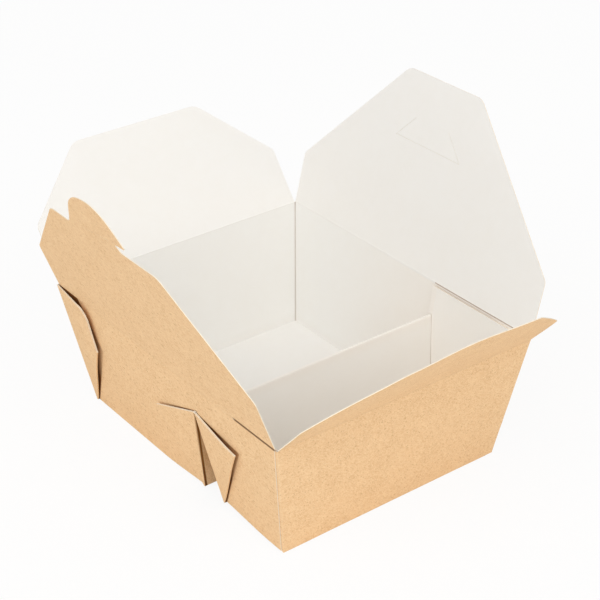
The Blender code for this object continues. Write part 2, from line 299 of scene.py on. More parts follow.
def paperFibreGroup():
    # fibres, flecks and cloudy mottling of paper pulp; sizes are per metre
    tree, source, target = newGroup(
        "paperFibre",
        (("Vector", "Vector", None), ("Fibre scale", "Float", 900.0), ("Mottle scale", "Float", 70.0)),
        ("Fibre", "Fleck", "Mottle"),
    )
    vector, fibreScale, mottleScale = source["Vector"], source["Fibre scale"], source["Mottle scale"]
    strands = []
    for turn, scale in pulp["strands"]:
        along = stretched(tree, vector, turn, scale)
        strands.append(noiseNode(tree, along, fibreScale, *pulp["strandNoise"]))
    total = mathNode(tree, "ADD", mathNode(tree, "ADD", strands[0], strands[1]), strands[2])
    fibre = product(tree, total, pulp["third"])
    fine = noiseNode(tree, vector, product(tree, fibreScale, pulp["fineScale"]), *pulp["fineNoise"])
    fleckVector = stretched(tree, vector, pulp["fleckTurn"], pulp["fleckStretch"])
    flecks = addNode(tree, "ShaderNodeTexVoronoi", {"Vector": fleckVector, "Scale": fibreScale})
    chosen = addNode(tree, "ShaderNodeSeparateColor", {0: flecks.outputs["Color"]}).outputs[0]
    size = ramp(tree, flecks.outputs["Distance"], *pulp["fleckSize"])
    broad = noiseNode(tree, vector, mottleScale, *pulp["broadNoise"])
    narrow = noiseNode(tree, vector, product(tree, mottleScale, pulp["narrowScale"]), *pulp["fineNoise"])
    feed(tree, target, {
        "Fibre": blended(tree, fibre, fine, pulp["fibreShare"]),
        "Fleck": product(tree, size, ramp(tree, chosen, *pulp["fleckChoice"])),
        "Mottle": blended(tree, broad, narrow, pulp["broadShare"]),
    })
    return tree


# folds and raw edges: the noise that breaks the wear up, how strong it is, and how fast it ends
wear = {
    "breaks": (4.0, 0.65),
    "breaksRange": (0.36, 0.62),
    "strength": (0.35, 1.0),
    "falloff": 1.6,
}


def foldWearGroup():
    # masks along folds and raw edges, broken up so that they are never a clean line
    tree, source, target = newGroup(
        "foldWear",
        (
            ("Vector", "Vector", None),
            ("Fold width", "Float", 0.0009),
            ("Edge width", "Float", 0.0005),
            ("Breaks", "Float", 260.0),
        ),
        ("Fold", "Edge"),
    )
    breaks = noiseNode(tree, source["Vector"], source["Breaks"], *wear["breaks"])
    strength = ramp(tree, breaks, *wear["breaksRange"], *wear["strength"])
    for label, attribute in (("Fold", "foldDistance"), ("Edge", "cutDistance")):
        distance = addNode(tree, "ShaderNodeAttribute", attribute_name=attribute).outputs["Fac"]
        near = ramp(tree, distance, source[label + " width"], 0.0)
        near = mathNode(tree, "POWER", near, wear["falloff"])
        feed(tree, target, {label: mathNode(tree, "MULTIPLY", near, strength, clamp=True)})
    return tree


# places where shade is painted on, where the light hardly reaches, and where the lining is painted lighter or
# a warmer, darker white for the light inside the box; pairs are where a mask is 0 and where it is 1
shade = {
    "before": (0.0003, 0.0005),
    "outside": (-0.0008, -0.0004),
    "onWall": (0.0007, 0.0004),
    "softBack": (0.0014, 0.0008),
    "softPleatBack": (0.0009, 0.0003),
    "softPleatFront": (0.0004, -0.0003),
    "cornerBevel": ((0.0669, 0.0602), (0.0588, 0.0526)),
    "behindGap": (-0.0266, -0.0246),
    "beforeGap": (-0.0246, -0.0266),
    "underCrease": (0.0002, 0.0),
    "inGap": (0.00005, -0.00005),
    "gapDepth": (-0.0002, -0.012),
    "gapMouth": 0.25,
    "underRidge": (0.001, 0.0),
    "slitWidth": (0.0009, 0.0004),
    "slitBackEnd": (0.0004, -0.0012),
    "slitFrontEnd": (-0.0012, 0.0),
    "creaseWidth": (0.0012, 0.0004),
    "cornerNear": (-0.0009, -0.0005),
    "cornerAside": (0.0008, 0.0003),
    "backCorner": 0.5,
    "lapNear": (-0.0023, -0.0018),
    "lapTop": (0.0618, 0.0619),
    "lapLimit": 0.0625,
    "innerFrom": (0.001, 0.006),
    "warmReach": 0.055,
    "warmPower": 1.5,
    "warmTop": 0.6,
    "smallFrom": (-0.0262, -0.0252),
    "smallShare": 0.62,
}


def halfPlane(tree, point, first, second, soft):
    # 1 on the left of the line from first to second (y, z), and 0 this far outside it
    along = Vector((0, second[0] - first[0], second[1] - first[1])).normalized()
    normal = Vector((0, along.z, -along.y))
    dot = addNode(tree, "ShaderNodeVectorMath", {0: point, 1: normal}, operation="DOT_PRODUCT")
    offset = normal.y * first[0] + normal.z * first[1]
    return ramp(tree, dot.outputs["Value"], offset + soft[0], offset + soft[1])


def rawEdges(foot, inward, web, top):
    # the two raw edges of a folded web, as lines (y, z) that have the web on their left
    tip = (foot + inward * web[0], web[1])
    lines = [((foot, tray["baseLevel"]), tip), (tip, top)]
    return lines if inward > 0 else [line[::-1] for line in lines]


def boxShadeGroup():
    # masks for painted shade and painted light at the places named in shade, from where a point is in the box
    names = ("Gap", "Pleat", "Slit", "Crease", "Corner", "Inner", "Small side")
    tree, source, target = newGroup("boxShade", (("Vector", "Vector", None),), names)
    point = source["Vector"]
    x, y, z = addNode(tree, "ShaderNodeSeparateXYZ", {0: point}).outputs

    def calc(operation, *values, clamp=False):
        return mathNode(tree, operation, *values, clamp=clamp)

    def times(*values):
        return product(tree, *values)

    def apart(first, second):
        return calc("ABSOLUTE", calc("SUBTRACT", first, second))

    def within(value, name, start=0.0):
        return ramp(tree, value, *(start + reach for reach in shade[name]))

    low, ridge, endTop = tray["baseLevel"], tray["ridgeHeight"], tray["endCrease"]
    wallX = calc("MULTIPLY_ADD", z, tray["widthFlare"] / tray["wallHeight"], tray["baseWidth"] / 2)
    backY = calc("MULTIPLY_ADD", z, tray["lengthFlare"] / tray["wallHeight"], tray["baseLength"] / 2)
    proud = calc("SUBTRACT", calc("ABSOLUTE", x), wallX)
    inTray = calc("LESS_THAN", z, endTop)

    # painted shadow under the webs' raw edges, on the side walls' outer face
    cornerTop = (endY(endTop) - tray["cornerShoulder"], endTop)
    corner = rawEdges(endY(low), -1, tray["cornerWeb"], cornerTop)
    back = rawEdges(pleatY(1, low), 1, tray["pleatBackWeb"], (pleatY(1, ridge), ridge))
    front = rawEdges(pleatY(-1, low), -1, tray["pleatFrontWeb"], (pleatY(-1, ridge), ridge))

    def under(lines, soft):
        return times(*(halfPlane(tree, point, *line, shade[soft]) for line in lines))

    underCorner = under([*corner, shade["cornerBevel"]], "softBack")
    underBack = times(under(back, "softPleatBack"), within(y, "behindGap"))
    underFront = times(under(front, "softPleatFront"), within(y, "beforeGap"))
    gap = times(
        calc("MAXIMUM", calc("MAXIMUM", underCorner, underBack), underFront),
        within(calc("SUBTRACT", backY, y), "before"),
        within(proud, "outside"),
        within(proud, "onWall"),
        within(z, "underCrease", endTop),
    )

    # painted shade in the pleat's gap, darker deeper inside it
    rise = calc("MULTIPLY", z, 1 / ridge, clamp=True)
    centre = calc("MULTIPLY_ADD", rise, tray["pleatOffset"] - tray["ridgeOffset"], -tray["pleatOffset"])
    half = calc("MULTIPLY_ADD", rise, (tray["ridgeWidth"] - tray["pleatGap"]) / 2, tray["pleatGap"] / 2)
    aside = calc("SUBTRACT", apart(y, centre), half)
    pleat = times(
        within(aside, "inGap"),
        ramp(tree, proud, *shade["gapDepth"], shade["gapMouth"], 1.0),
        within(z, "underRidge", ridge),
    )

    # painted shadow in the slit beside the left flap, and painted shade along the creases
    slitStart, slitEnd = tray["slitEnds"]
    slit = times(
        within(y, "slitFrontEnd", slitEnd),
        within(y, "slitBackEnd", slitStart),
        within(apart(z, tray["sideCrease"] - tray["slitDrop"] / 2), "slitWidth"),
        calc("LESS_THAN", x, 0.0),
    )
    crease = within(apart(z, (tray["sideCrease"] + endTop) / 2), "creaseWidth")

    # painted shade lines along the inner corners, and the painted shadow line over the small compartment's
    # inner panel
    nearSide = within(proud, "cornerNear")
    nearBack = within(calc("SUBTRACT", y, backY), "cornerNear")
    nearPleat = within(calc("ABSOLUTE", aside), "cornerAside")
    backCorner = times(nearSide, nearBack, shade["backCorner"])
    pleatCorner = times(within(proud, "lapNear"), nearPleat, calc("LESS_THAN", z, ridge))
    lapLine = times(
        within(z, "lapTop"),
        calc("LESS_THAN", z, shade["lapLimit"]),
        calc("LESS_THAN", y, pleatY(-1, ridge) + tray["innerLap"]),
        nearSide,
    )
    inner = times(calc("MAXIMUM", backCorner, pleatCorner), inTray)

    # painted light and shade on the lining: a little lighter and cooler above the folds at the base, and a
    # warmer, darker painted shade towards the divider and in the small compartment
    innerLight = times(inTray, within(z, "innerFrom"))
    towards = ramp(tree, y, shade["warmReach"], pleatY(1, ridge))
    warmShade = times(
        calc("POWER", towards, shade["warmPower"]),
        ramp(tree, z, 0.0, endTop, 1.0, shade["warmTop"]),
        ramp(tree, y, *shade["smallFrom"], shade["smallShare"], 1.0),
        inTray,
    )
    masks = (gap, pleat, slit, crease, calc("MAXIMUM", inner, lapLine), innerLight, warmShade)
    feed(tree, target, dict(zip(names, masks)))
    return tree


# each material is its base colour under layers of (mask, strength, colour), and MULTIPLY where they do so
kraftWorn = (0.965, 0.755, 0.500, 1)
# a dark brown for painted shade and shadow: the gaps under the webs, the creases and the slit
kraftShade = (0.165, 0.052, 0.004, 1)
whiteWorn = (0.96, 0.95, 0.93, 1)

kraftFace = {
    "base": (0.840, 0.550, 0.297, 1),
    "ranges": {"Mottle": (0.38, 0.62), "Fibre": (0.42, 0.58)},
    "layers": (
        ("Mottle", 0.46, (0.665, 0.395, 0.180, 1)),
        ("Fibre", 0.95, (0.965, 0.705, 0.430, 1)),
        ("Fleck", 0.6, (0.48, 0.26, 0.105, 1)),
        ("Fold", 0.25, kraftWorn),
        ("Edge", 0.45, kraftWorn),
        # Crease: a faint painted shade line along the creases
        ("Crease", 0.05, kraftShade),
        # Gap: painted shadow under the webs' raw edges
        ("Gap", 0.97, kraftShade),
        # Pleat: painted shade, darker deeper in the pleat's gap
        ("Pleat", 0.85, (0.470, 0.235, 0.050, 1)),
        # Slit: painted shadow in the slit beside the left flap
        ("Slit", 0.85, kraftShade),
    ),
    "fibreScale": 1100.0,
    "mottleScale": 105.0,
    "roughness": (0.72, 0.92),
    "specular": 0.15,
    "bump": 0.25,
    "bumpDistance": 0.00006,
}

whiteFace = {
    "base": (0.912, 0.896, 0.866, 1),
    "ranges": {"Mottle": (0.38, 0.62), "Fibre": (0.38, 0.62)},
    "layers": (
        ("Mottle", 0.16, (0.865, 0.825, 0.755, 1)),
        ("Fibre", 0.25, (0.935, 0.925, 0.90, 1)),
        ("Fold", 0.4, whiteWorn),
        ("Edge", 0.4, whiteWorn),
        # Inner: painted light, the lining inside the tray a little lighter and cooler
        ("Inner", 1.0, (1.015, 1.025, 1.030, 1), "MULTIPLY"),
        # Small side: painted warm shade towards the divider and in the small compartment
        ("Small side", 1.0, (0.985, 0.925, 0.870, 1), "MULTIPLY"),
        # Corner: painted shade lines in the inner corners and over the small compartment's inner panel
        ("Corner", 0.62, (0.30, 0.165, 0.07, 1)),
    ),
    "fibreScale": 800.0,
    "mottleScale": 45.0,
    "roughness": (0.46, 0.62),
    "specular": 0.4,
    "bump": 0.12,
    "bumpDistance": 0.00004,
}

cutEdge = {
    "base": (0.93, 0.85, 0.72, 1),
    "ranges": {"Mottle": (0.38, 0.62)},
    "layers": (
        ("Mottle", 0.55, (0.80, 0.69, 0.54, 1)),
        # painted shadow in the slit beside the left flap
        ("Slit", 0.85, kraftShade),
    ),
    "fibreScale": 2600.0,
    "mottleScale": 300.0,
    "roughness": (0.85, 0.97),
    "specular": 0.2,
    "bump": 0.35,
    "bumpDistance": 0.00005,
}

fibreGroup = paperFibreGroup()
maskGroups = (foldWearGroup(), boxShadeGroup())


def makePaper(name, values):
    material = bpy.data.materials.new(name)
    material.use_nodes = True
    tree = material.node_tree
    place = {"Vector": addNode(tree, "ShaderNodeTexCoord").outputs["Object"]}
    scales = {"Fibre scale": values["fibreScale"], "Mottle scale": values["mottleScale"]}
    paper = addNode(tree, "ShaderNodeGroup", {**place, **scales}, node_tree=fibreGroup).outputs
    masks = {"Fleck": paper["Fleck"]}
    for name, limits in values["ranges"].items():
        masks[name] = ramp(tree, paper[name], *limits)
    for group in maskGroups:
        masks.update(addNode(tree, "ShaderNodeGroup", place, node_tree=group).outputs.items())
    colour = values["base"]
    for name, strength, layer, *blend in values["layers"]:
        inputs = {0: product(tree, masks[name], strength), 6: colour, 7: layer}
        mixed = addNode(tree, "ShaderNodeMix", inputs, data_type="RGBA", blend_type=(*blend, "MIX")[0])
        colour = mixed.outputs[2]
    bumpInputs = {"Strength": values["bump"], "Distance": values["bumpDistance"], "Height": paper["Fibre"]}
    feed(tree, tree.nodes["Principled BSDF"], {
        "Base Color": colour,
        "Roughness": ramp(tree, paper["Fibre"], *pulp["roughnessRange"], *values["roughness"]),
        "Normal": addNode(tree, "ShaderNodeBump", bumpInputs).outputs[0],
        "Specular IOR Level": values["specular"],
    })
    return material


kraft = makePaper("kraftPaper", kraftFace)
white = makePaper("whiteLining", whiteFace)
edge = makePaper("cutEdge", cutEdge)
print("materials made")


# the Geometry Nodes tree that turns a sheet's middle surface into board

def boardTree():
    tree, source, target = newGroup(
        "foldedBoard",
        (
            ("Sheet", "Geometry", None),
            ("Thickness", "Float", board["thickness"]),
            ("Weld", "Float", board["weld"]),
            ("Outside", "Material", None),
            ("Inside", "Material", None),
            ("Cut edge", "Material", None),
        ),
        ("Board",),
        "GeometryNodeTree",
        "Geometry",
    )

    def made(kind, inputs, output=0, **settings):
        return addNode(tree, kind, inputs, **settings).outputs[output]

    def named(name, kind):
        return made("GeometryNodeInputNamedAttribute", {"Name": name}, "Attribute", data_type=kind)

    def shifted(geometry, share, **selection):
        # along the board's normals, by this share of its thickness
        inputs = {0: named("boardNormal", "FLOAT_VECTOR"), "Scale": product(tree, source["Thickness"], share)}
        offset = made("ShaderNodeVectorMath", inputs, operation="SCALE")
        return made("GeometryNodeSetPosition", {"Geometry": geometry, "Offset": offset, **selection})

    def marked(geometry, number, **selection):
        inputs = {"Name": "boardSide", "Geometry": geometry, "Value": number, **selection}
        return made("GeometryNodeStoreNamedAttribute", inputs, data_type="INT", domain="FACE")

    lowered = shifted(source["Sheet"], -0.5)
    outside = marked(made("GeometryNodeFlipFaces", {0: lowered}), 0)
    inputs = {"Individual": False, "Offset Scale": 0.0, "Mesh": lowered}
    raised = addNode(tree, "GeometryNodeExtrudeMesh", inputs, mode="FACES").outputs
    lifted = shifted(raised["Mesh"], 1.0, Selection=raised["Top"])
    inside = marked(marked(lifted, 1), 2, Selection=raised["Side"])
    joined = addNode(tree, "GeometryNodeJoinGeometry", {0: inside})
    feed(tree, joined, {0: outside})
    merged = made("GeometryNodeMergeByDistance", {"Geometry": joined.outputs[0], "Distance": source["Weld"]})
    last = made("GeometryNodeRealizeInstances", {0: merged})
    for number, name in enumerate(("Outside", "Inside", "Cut edge")):
        inputs = {2: named("boardSide", "INT"), 3: number}
        same = made("FunctionNodeCompare", inputs, data_type="INT", operation="EQUAL")
        inputs = {"Geometry": last, "Selection": same, "Material": source[name]}
        last = made("GeometryNodeSetMaterial", inputs)
    feed(tree, target, {0: last})
    return tree


foldedBoard = boardTree()


def boardFromSheet(name, shape, foldGaps, cutGaps, panelOf):
    # the middle surface with its attributes, through the tree, to a plain mesh
    normals = evenNormals(shape, panelOf)
    sheet = bpy.data.meshes.new(name + "Sheet")
    shape.to_mesh(sheet)
    shape.free()
    for label, values in (("foldDistance", foldGaps), ("cutDistance", cutGaps)):
        attribute = sheet.attributes.new(label, "FLOAT", "POINT")
        attribute.data.foreach_set("value", np.asarray(values, np.float32))
    attribute = sheet.attributes.new("boardNormal", "FLOAT_VECTOR", "POINT")
    attribute.data.foreach_set("vector", np.array(normals, np.float32).ravel())
    draft = placed(name + "Draft", sheet)
    modifier = draft.modifiers.new("foldedBoard", "NODES")
    modifier.node_group = foldedBoard
    values = {"Thickness": board["thickness"], "Weld": board["weld"]}
    values.update({"Outside": kraft, "Inside": white, "Cut edge": edge})
    for item in foldedBoard.interface.items_tree:
        if item.in_out == "INPUT" and item.name in values:
            modifier[item.identifier] = values[item.name]
    mesh = meshOf(draft)
    mesh.name = name
    draft.modifiers.clear()
    bpy.data.objects.remove(draft)
    bpy.data.meshes.remove(sheet)
    for label in ("boardNormal", "boardSide"):
        if label in mesh.attributes:
            mesh.attributes.remove(mesh.attributes[label])
    return mesh


def finishPiece(name, mesh, body):
    mesh.polygons.foreach_set("use_smooth", [True] * len(mesh.polygons))
    mesh.set_sharp_from_angle(angle=board["sharpAngle"])
    mesh.update()
    piece = placed(name, mesh)
    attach(piece, body)
    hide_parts(body)
    print(name, "made:", len(mesh.polygons), "faces")


class Sheet:
    # the left half of the tray as flat panels between named corners

    def __init__(self):
        self.corners = {}
        self.panels = []

    def onSide(self, name, layer, y, z):
        # layer 0 is the side wall's own, and higher ones lie outside it
        self.corners[name] = Vector((-sideX(z) - layer * board["pitch"], y, z))

    def panel(self, kind, *names):
        self.panels.append((kind, names))

    def web(self, name, wallLayer, webLayer, wallY, inward, top, tip, shoulder=(), turnDrop=0.0):
        # a wall across the box, and the web that is folded in two between it and the side wall
        low = tray["baseLevel"]
        layers = {"inner": webLayer, "outer": webLayer + 1}
        for end, z, drop in (("bottom", low, 0.0), ("top", top, turnDrop)):
            turn = wallY(z - drop) + inward * board["pitch"]
            self.onSide(f"{name} panel {end}", wallLayer, turn, z - drop)
            self.onSide(f"{name} inner {end}", webLayer, turn, z - drop)
            self.onSide(f"{name} wall {end}", layers["outer"], wallY(z), z)
            self.corners[f"{name} middle {end}"] = Vector((0.0, wallY(z), z))
        self.onSide(f"{name} outer bottom", layers["outer"], wallY(low) + inward * board["pitch"], low)
        raw = [("tip", tip), *((f"edge {index}", place) for index, place in enumerate(shoulder))]
        for half, layer in layers.items():
            for label, (reach, height) in raw:
                self.onSide(f"{name} {half} {label}", layer, wallY(low) + inward * reach, height)

        def join(kind, *labels):
            self.panel(kind, *(f"{name} {label}" for label in labels))

        join("turn", "panel bottom", "panel top", "inner top", "inner bottom")
        join("web", "inner bottom", "inner top", *(f"inner {label}" for label, place in reversed(raw)))
        join("turn", "inner bottom", "inner tip", "outer tip", "outer bottom")
        join("web", "outer bottom", *(f"outer {label}" for label, place in raw), "wall top", "wall bottom")
        join("wall", "wall bottom", "middle bottom", "middle top", "wall top")

    def base(self, back, front):
        steps = ("panel", "inner", "outer", "wall", "middle")
        behind = [f"{back} {step} bottom" for step in steps]
        before = [f"{front} {step} bottom" for step in reversed(steps)]
        self.panel("base", *behind, *before)


def traySheet():
    sheet = Sheet()
    pitch, ridge, inside = board["pitch"], tray["ridgeHeight"], tray["innerLayer"]
    top, sideTop = tray["endCrease"], tray["sideCrease"]
    drop = tray["webTopDrop"]
    webTop = top - drop - tray["cornerTopDrop"]
    shoulder = roundedOutline([
        (*tray["cornerWeb"], 0),
        (tray["cornerShoulder"], webTop, tray["cornerRounding"]),
        (0, webTop, 0),
    ])[1:-1]
    sheet.web("back", 0, 1, endY, -1, top, tray["cornerWeb"], shoulder, drop)
    sheet.web("pleat back", 0, 1, lambda z: pleatY(1, z), 1, ridge, tray["pleatBackWeb"])
    sheet.web("pleat front", inside, 1, lambda z: pleatY(-1, z), -1, ridge, tray["pleatFrontWeb"])
    sheet.web("front", inside, inside + 1, lambda z: -endY(z), 1, top, tray["cornerWeb"], shoulder, drop)
    ends = ("back wall", "back middle", "front middle", "front wall")
    sheet.panel("ridge", *(f"pleat {end} top" for end in ends))
    sheet.base("back", "pleat back")
    sheet.base("pleat front", "front")

    # the large compartment's side panel, which is glued over the small one's
    over, under = ridge + tray["ridgeClearance"], ridge - tray["ridgeClearance"]
    slitStart, slitEnd = tray["slitEnds"]
    slitLevel = sideTop - tray["slitDrop"]
    foot = tray["glueFoot"]
    sheet.onSide("panel top back", 0, endY(sideTop) - pitch, sideTop)
    sheet.onSide("slit start top", 0, slitStart, sideTop)
    sheet.onSide("slit start", 0, slitStart - tray["slitRamp"], slitLevel)
    sheet.onSide("slit end", 0, slitEnd, slitLevel)
    sheet.onSide("panel over ridge", 0, sheet.corners["pleat back panel top"].y, over)
    sheet.onSide("glue foot front", 0, tray["glueMargin"] - endY(foot), foot)
    sheet.onSide("glue foot back", 0, pleatY(-1, foot) + inside * pitch, foot)
    neck = pleatY(-1, under) + inside * pitch
    sheet.onSide("glue neck back", 0, neck, under)
    sheet.onSide("glue over ridge", 0, neck, over)
    sheet.panel("side", *(
        "back panel bottom, back panel top, panel top back, slit start top, slit start, slit end, "
        "glue foot front, glue foot back, glue neck back, glue over ridge, panel over ridge, "
        "pleat back panel top, pleat back panel bottom"
    ).split(", "))

    # the small compartment's side panel
    turn = sheet.corners["pleat front panel top"].y
    sheet.onSide("small over ridge", inside, turn, over)
    sheet.onSide("small lap", inside, turn + tray["innerLap"], over)
    sheet.onSide("small top back", inside, turn + tray["innerLap"], top - drop)
    sheet.panel("side", *(
        "pleat front panel bottom, pleat front panel top, small over ridge, small lap, small top back, "
        "front panel top, front panel bottom"
    ).split(", "))
    return sheet


def cutAcross(shape, faces, point, normal):
    # splits these faces along a plane
    edges = {item for face in faces for item in face.edges}
    points = {item for face in faces for item in face.verts}
    geometry = [*points, *edges, *faces]
    bmesh.ops.bisect_plane(shape, geom=geometry, dist=board["snap"], plane_co=point, plane_no=normal)


def gridReaches(reaches):
    # the places of evenly spaced cuts between the lowest and the highest of these
    low, high = min(reaches), max(reaches)
    count = int((high - low) / board["gridStep"])
    return [low + (high - low) * step / (count + 1) for step in range(1, count + 1)]


def gridDirections(normal):
    flat = Vector((1, 0, 0)) if abs(normal.x) < 0.7 else Vector((0, 1, 0))
    first = (flat - flat.dot(normal) * normal).normalized()
    return first, normal.cross(first).normalized()


def bulge(u, v):
    # a soft pillow on the unit square, nothing at its borders
    return 16 * u * (1 - u) * v * (1 - v) if 0 < u < 1 and 0 < v < 1 else 0.0


def webLift(y, z):
    # how far a folded web stands off the side wall at this place, as a flat panel on its hinge line
    if y > tray["backWebsFrom"]:
        lift, away, web = tray["liftBack"], endY(z) - y, tray["cornerWeb"]
    elif y > pleatY(1, z):
        lift, away, web = tray["liftPleatBack"], y - pleatY(1, z), tray["pleatBackWeb"]
    else:
        lift, away, web = tray["liftPleatFront"], pleatY(-1, z) - y, tray["pleatFrontWeb"]
    return lift * min(max(away / web[0], 0.0), 1.0)


def pleatRise(y, z):
    # the box stands a little off the ground beside its pleat
    away = y - pleatY(1, 0) if y > tray["middle"] else pleatY(-1, 0) - y
    near = 1 - ease(*tray["pleatRiseReach"], away)
    return tray["pleatRise"] * near * (1 - ease(0.0, tray["pleatRiseHeight"], z))


def settle(point, kind):
    # how a point of the flat panels moves to where the standing box has it
    x, y, z = point
    large = y > tray["middle"]
    rise = pleatRise(y, z)
    level = 0 if kind == "base" else z
    divider = min(level, tray["ridgeHeight"])
    low, high = (pleatY(1, divider), endY(level)) if large else (-endY(level), pleatY(-1, divider))
    along = (y - low) / (high - low)
    if kind in ("side", "web", "turn"):
        share = 1.0 if large else tray["smallSideShare"]
        out = tray["sideBow"] * share * bulge(along, z / tray["wallHeight"])
        layer = round((-x - sideX(z)) / board["pitch"])
        if layer > 0:
            out += webLift(y, z)
        if layer <= tray["innerLayer"]:
            lap = pleatY(-1, z) + tray["innerLap"]
            above = ease(*tray["lapLiftFoot"], z) * (1 - ease(*tray["lapLiftHead"], z))
            out -= tray["liftLap"] * above * (1 - ease(0.0, tray["lapReach"], lap - y))
        return Vector((-out, 0, rise))
    if kind == "wall":
        across = x / (2 * sideX(z)) + 0.5
        if abs(y) > tray["endWallsFrom"]:
            bow = tray["endBow"] * bulge(across, z / tray["wallHeight"])
            return Vector((0, math.copysign(bow, y), 0))
        bow = tray["dividerBow"] * bulge(across, z / tray["ridgeHeight"])
        return Vector((0, bow if large else -bow, rise))
    if kind == "base":
        share = 1.0 if large else tray["smallBaseShare"]
        bow = tray["baseBow"] * share * bulge(x / tray["baseWidth"] + 0.5, along)
        return Vector((0, 0, bow + rise))
    return Vector((0, 0, rise))


def sheetSegments(sheet):
    # the folds and raw edges of each panel
    users = {}
    for number, (kind, names) in enumerate(sheet.panels):
        for first, second in zip(names, names[1:] + names[:1]):
            users.setdefault(frozenset((first, second)), []).append(number)
    segments = [{"fold": [], "cut": []} for panel in sheet.panels]
    for pair, owners in users.items():
        ends = [sheet.corners[name] for name in pair]
        if any(abs(end.x) > board["same"] for end in ends):
            for owner in owners:
                segments[owner]["fold" if len(owners) == 2 else "cut"].append(ends)
    return segments


def makeTray():
    sheet = traySheet()
    segments = sheetSegments(sheet)
    shape = bmesh.new()
    points = {name: shape.verts.new(place) for name, place in sheet.corners.items()}
    panelLayer = shape.faces.layers.int.new("panel")

    def facesOf(number):
        return [face for face in shape.faces if face[panelLayer] == number]

    for number, (kind, names) in enumerate(sheet.panels):
        shape.faces.new([points[name] for name in names])[panelLayer] = number
    bmesh.ops.recalc_face_normals(shape, faces=shape.faces)
    baseNumber = next(number for number, (kind, names) in enumerate(sheet.panels) if kind == "base")
    if facesOf(baseNumber)[0].normal.z < 0:
        bmesh.ops.reverse_faces(shape, faces=shape.faces)

    # rows of faces along the folds and raw edges, and a grid
    for number, (kind, names) in enumerate(sheet.panels):
        if kind in ("turn", "ridge"):
            continue
        whole = facesOf(number)[0]
        normal = whole.normal.copy()
        middle = whole.calc_center_median()
        for label, gaps in (("fold", board["foldCuts"]), ("cut", board["edgeCuts"])):
            for first, second in segments[number][label]:
                along = second - first
                if along.length < board["shortestFold"]:
                    continue
                across = normal.cross(along).normalized()
                if across.dot(middle - first) < 0:
                    across.negate()
                for gap in gaps:
                    cutAcross(shape, facesOf(number), first + across * gap, across)
        for direction in gridDirections(normal):
            for reach in gridReaches([sheet.corners[name].dot(direction) for name in names]):
                cutAcross(shape, facesOf(number), direction * reach, direction)

    # the right half mirrors the left one
    bmesh.ops.triangulate(shape, faces=[face for face in shape.faces if len(face.verts) > 4])
    mirrored = bmesh.ops.duplicate(shape, geom=[*shape.verts, *shape.edges, *shape.faces])["geom"]
    for item in mirrored:
        if isinstance(item, bmesh.types.BMVert):
            item.co.x = -item.co.x
    turned = [item for item in mirrored if isinstance(item, bmesh.types.BMFace)]
    bmesh.ops.reverse_faces(shape, faces=turned)
    bmesh.ops.remove_doubles(shape, verts=shape.verts, dist=board["same"])
    shape.verts.ensure_lookup_table()

    gaps = {"fold": [], "cut": []}
    moves = []
    for point in shape.verts:
        place = Vector((-abs(point.co.x), point.co.y, point.co.z))
        owners = {face[panelLayer] for face in point.link_faces}
        for label, values in gaps.items():
            near = [pair for owner in owners for pair in segments[owner][label]]
            values.append(distanceTo(np.array(place), near))
        kinds = {sheet.panels[owner][0] for owner in owners}
        kind = next(kind for kind in ("side", "web", "turn", "wall", "base", "ridge") if kind in kinds)
        moves.append(settle(place, kind))
    slitStart, slitEnd = tray["slitEnds"]
    slitLevel = tray["sideCrease"] - tray["slitDrop"] - board["snap"]
    for point, move in zip(shape.verts, moves):
        if point.co.x > 0:
            move.x = -move.x
            if point.co.z > slitLevel and slitEnd - tray["slitMargin"] < point.co.y < slitStart:
                move.z += tray["sideCrease"] - tray["rightSlitDrop"] - point.co.z
        point.co += move

    # folds are pulled in a little, so that none is knife sharp
    softened = {}
    for point in shape.verts:
        if gaps["fold"][point.index] < board["snap"] / 2 < gaps["cut"][point.index]:
            others = [item.other_vert(point).co for item in point.link_edges]
            near = [other for other in others if (other - point.co).length < board["softReach"]]
            if len(near) > 1:
                softened[point] = point.co.lerp(sum(near, Vector()) / len(near), board["foldSoftness"])
    for point, target in softened.items():
        point.co = target
    shape.normal_update()
    mesh = boardFromSheet("trayBoard", shape, gaps["fold"], gaps["cut"], lambda face: face[panelLayer])
    finishPiece("trayBoard", mesh, "tray")


makeTray()


# the flaps, each flat on its hinge line first: (along the crease, up)

def hexagon(values):
    half = [
        (values["halfWidth"], 0.0, 0),
        (values["halfWidth"], values["shoulder"], values["shoulderRounding"]),
        (values["topHalfWidth"], values["length"], values["rounding"]),
    ]
    return half + [(-along, up, radius) for along, up, radius in reversed(half)]


def flapSheet(loops):
    # a flat filled outline with a ring along its edges and a grid over it
    curve = bpy.data.curves.new("outline", "CURVE")
    curve.dimensions = "2D"
    curve.fill_mode = "BOTH"
    for loop in loops:
        spline = curve.splines.new("POLY")
        spline.points.add(len(loop) - 1)
        for point, (along, up) in zip(spline.points, loop):
            point.co = (along, up, 0.0, 1.0)
        spline.use_cyclic_u = True
    holder = placed("outline", curve)
    flat = meshOf(holder)
    bpy.data.objects.remove(holder)
    bpy.data.curves.remove(curve)
    shape = bmesh.new()
    shape.from_mesh(flat)
    bpy.data.meshes.remove(flat)
    bmesh.ops.remove_doubles(shape, verts=shape.verts, dist=board["same"])
    shape.normal_update()
    for face in shape.faces:
        if face.normal.z < 0:
            face.normal_flip()
    ring = {"thickness": board["flapEdgeCut"], "use_boundary": True, "use_even_offset": True}
    bmesh.ops.inset_region(shape, faces=shape.faces, **ring)
    for axis, direction in enumerate((Vector((1, 0, 0)), Vector((0, 1, 0)))):
        for reach in gridReaches([point[axis] for point in loops[0]]):
            cutAcross(shape, list(shape.faces), direction * reach, direction)
    for gap in board["foldCuts"]:
        cutAcross(shape, list(shape.faces), Vector((0, gap, 0)), Vector((0, 1, 0)))
    bmesh.ops.triangulate(shape, faces=[face for face in shape.faces if len(face.verts) > 4])
    return shape


